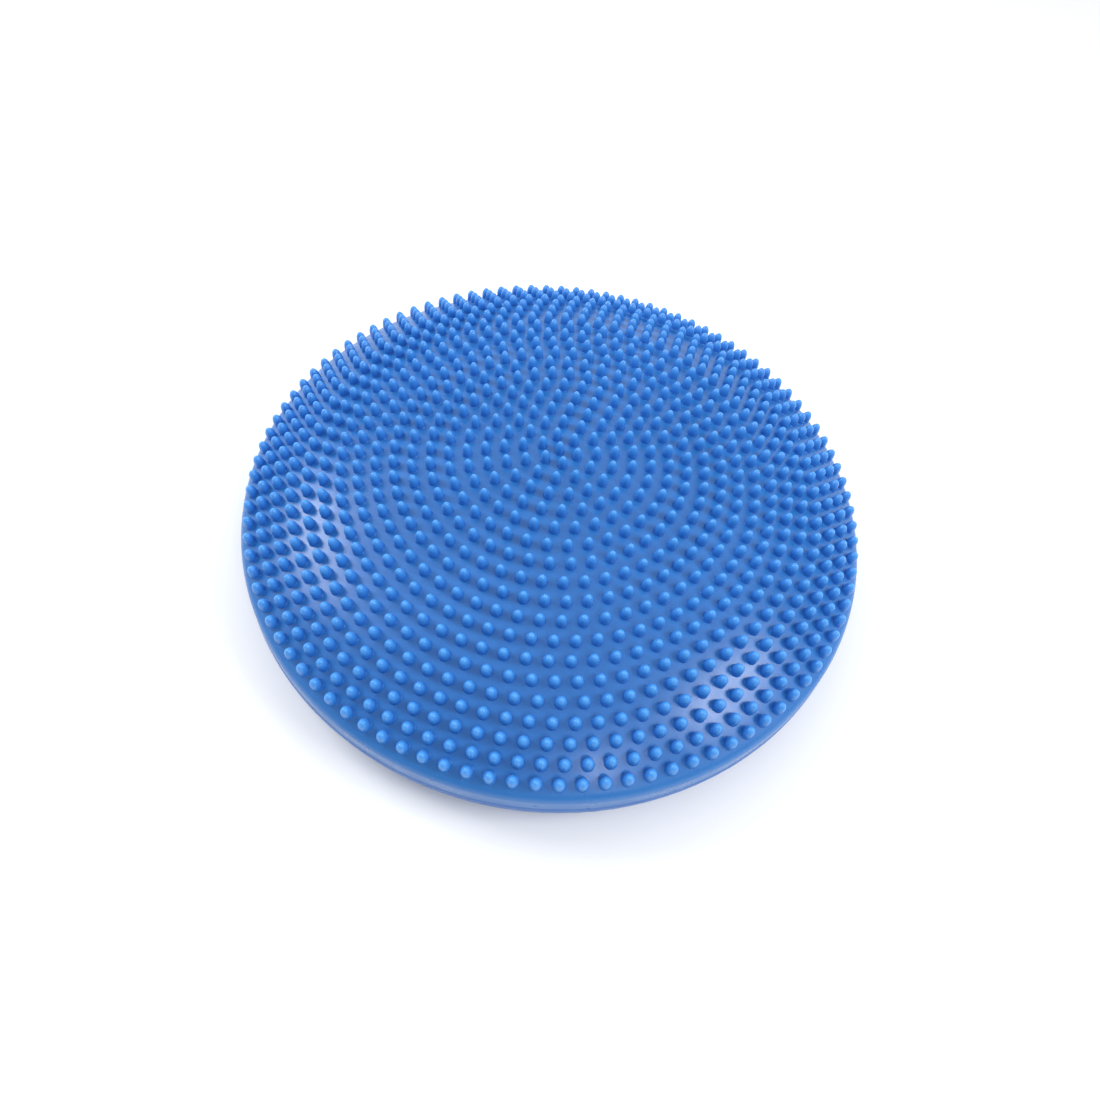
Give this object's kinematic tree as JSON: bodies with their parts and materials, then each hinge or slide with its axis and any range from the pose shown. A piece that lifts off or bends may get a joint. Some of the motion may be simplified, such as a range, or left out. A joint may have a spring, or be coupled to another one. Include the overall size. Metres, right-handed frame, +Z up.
{
  "type": "inflatable balance cushion",
  "caption": "Round air-filled balance cushion with a domed top covered in rings of massage nubs, a welded rim, a gripped underside and a pull-out valve plug.",
  "frame": {"origin": "centre of the underside, on the plane the cushion rests on", "axes": "+Z up through the crown, +Y towards the valve"},
  "size_m": [0.33, 0.3313, 0.0723],
  "materials": {
    "skin": "semi-gloss soft PVC",
    "nubs": "semi-gloss soft PVC",
    "valve_rubber": "matt self-sealing rubber",
    "plug": "matt white plastic"
  },
  "bodies": {
    "base": {"lower_shell": "skin", "weld_bead": "skin", "rim_wall": "skin", "valve_housing": "skin", "valve_insert": "valve_rubber"},
    "crown": {"upper_shell": "skin", "nub_field": "nubs"},
    "plug": {"valve_plug": "plug"}
  },
  "joints": [
    {"name": "crown_press", "type": "slide", "parent": "base", "child": "crown", "axis": [0, 0, -1], "range_m": [0, 0.006], "stiffness_N_per_m": 20000, "springref_m": -0.001, "deforming": ["rim_wall"]},
    {"name": "plug_pull", "type": "slide", "parent": "base", "child": "plug", "axis": [0, 0.866, -0.5], "range_m": [0, 0.012]}
  ]
}
